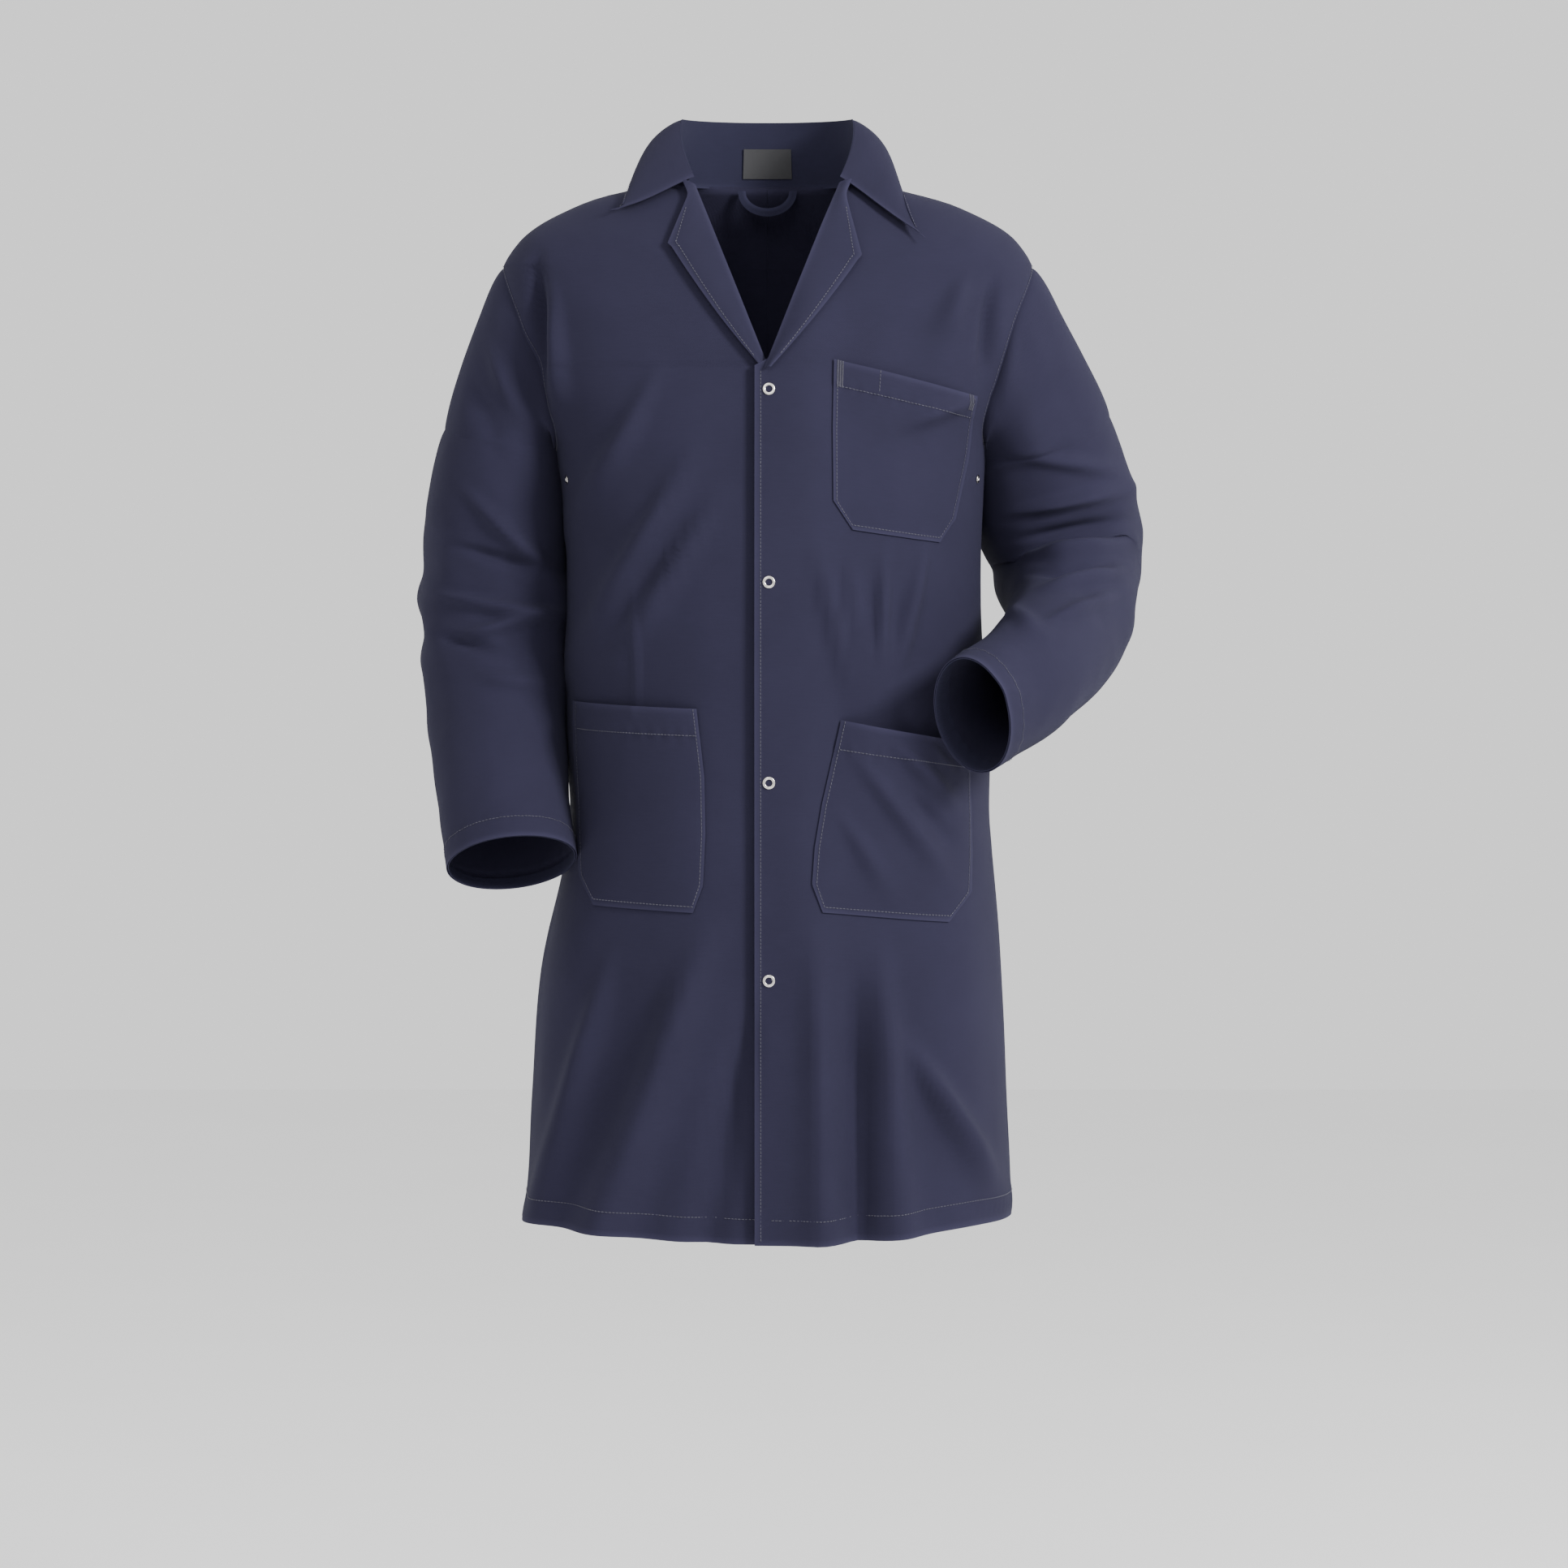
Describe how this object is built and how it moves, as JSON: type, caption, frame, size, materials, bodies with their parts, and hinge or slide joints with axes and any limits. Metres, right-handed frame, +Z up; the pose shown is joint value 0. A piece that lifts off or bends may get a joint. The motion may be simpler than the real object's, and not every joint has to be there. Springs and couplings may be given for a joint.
{
  "type": "lab coat",
  "caption": "Knee-length navy lab coat in its worn shape, with notched lapels, ring snap front, chest pocket and patch pockets.",
  "frame": {"origin": "middle of the neck opening at the height of the neck seam, between the two shoulder seams", "axes": "+Z up, the front faces -Y, the wearer's left is +X"},
  "size_m": [0.7199, 0.371, 1.1127],
  "materials": {
    "navy_twill": "matte",
    "navy_lining": "matte",
    "snap_nickel": "polished",
    "label_woven": "matte"
  },
  "bodies": {
    "coat_body": {"left_back": "navy_twill", "right_back": "navy_twill", "left_side_front": "navy_twill", "right_side_front": "navy_twill", "left_sleeve_head": "navy_twill", "right_sleeve_head": "navy_twill", "collar_stand": "navy_lining", "neck_label": "label_woven", "left_underarm_eyelet": "snap_nickel", "right_underarm_eyelet": "snap_nickel"},
    "left_opening": {"left_front": "navy_twill", "left_facing": "navy_lining", "left_lapel": "navy_twill", "chest_pocket": "navy_twill", "left_pocket": "navy_twill", "snap_1_ring": "snap_nickel", "snap_1_socket": "snap_nickel", "snap_2_ring": "snap_nickel", "snap_2_socket": "snap_nickel", "snap_3_ring": "snap_nickel", "snap_3_socket": "snap_nickel", "snap_4_ring": "snap_nickel", "snap_4_socket": "snap_nickel"},
    "right_opening": {"right_front": "navy_twill", "right_facing": "navy_lining", "right_lapel": "navy_twill", "right_pocket": "navy_twill", "snap_1_stud": "snap_nickel", "snap_1_back": "snap_nickel", "snap_2_stud": "snap_nickel", "snap_2_back": "snap_nickel", "snap_3_stud": "snap_nickel", "snap_3_back": "snap_nickel", "snap_4_stud": "snap_nickel", "snap_4_back": "snap_nickel"},
    "collar": {"collar_leaf": "navy_twill"},
    "loop": {"hanger_loop": "navy_lining"},
    "left_upper_arm": {"left_upper_sleeve": "navy_twill"},
    "left_forearm": {"left_lower_sleeve": "navy_twill", "left_cuff_hem": "navy_lining"},
    "right_upper_arm": {"right_upper_sleeve": "navy_twill"},
    "right_forearm": {"right_lower_sleeve": "navy_twill", "right_cuff_hem": "navy_lining"}
  },
  "joints": [
    {"name": "left_front_open", "type": "hinge", "parent": "coat_body", "child": "left_opening", "pos_m": [0.1383, -0.137, -0.485], "axis": [-0.1064, 0.0239, 0.994], "range_deg": [0, 50], "deforming": ["left_pocket", "chest_pocket"]},
    {"name": "right_front_open", "type": "hinge", "parent": "coat_body", "child": "right_opening", "pos_m": [-0.1383, -0.137, -0.485], "axis": [0.1064, 0.0239, 0.994], "range_deg": [-25, 0], "deforming": ["right_pocket"]},
    {"name": "collar_lift", "type": "hinge", "parent": "coat_body", "child": "collar", "pos_m": [0, 0.104, -0.006], "axis": [1, 0, 0], "range_deg": [-15, 0]},
    {"name": "left_shoulder_raise", "type": "hinge", "parent": "coat_body", "child": "left_upper_arm", "pos_m": [0.245, 0.01, -0.155], "axis": [0, -1, 0], "range_deg": [0, 40]},
    {"name": "left_elbow_bend", "type": "hinge", "parent": "left_upper_arm", "child": "left_forearm", "pos_m": [0.291, 0.016, -0.374], "axis": [-0.8783, 0.4671, -0.102], "range_deg": [0, 30]},
    {"name": "right_shoulder_raise", "type": "hinge", "parent": "coat_body", "child": "right_upper_arm", "pos_m": [-0.245, 0.01, -0.155], "axis": [0, 1, 0], "range_deg": [0, 40]},
    {"name": "right_elbow_bend", "type": "hinge", "parent": "right_upper_arm", "child": "right_forearm", "pos_m": [-0.273, -0.04, -0.395], "axis": [-1, 0, 0], "range_deg": [0, 50]},
    {"name": "hanger_loop_swing", "type": "hinge", "parent": "coat_body", "child": "loop", "pos_m": [0, 0.0597, -0.0115], "axis": [-1, 0, 0], "range_deg": [0, 150]}
  ],
  "couplings": [
    {"joint": "right_front_open", "follows": "left_front_open", "ratio": -0.5}
  ]
}
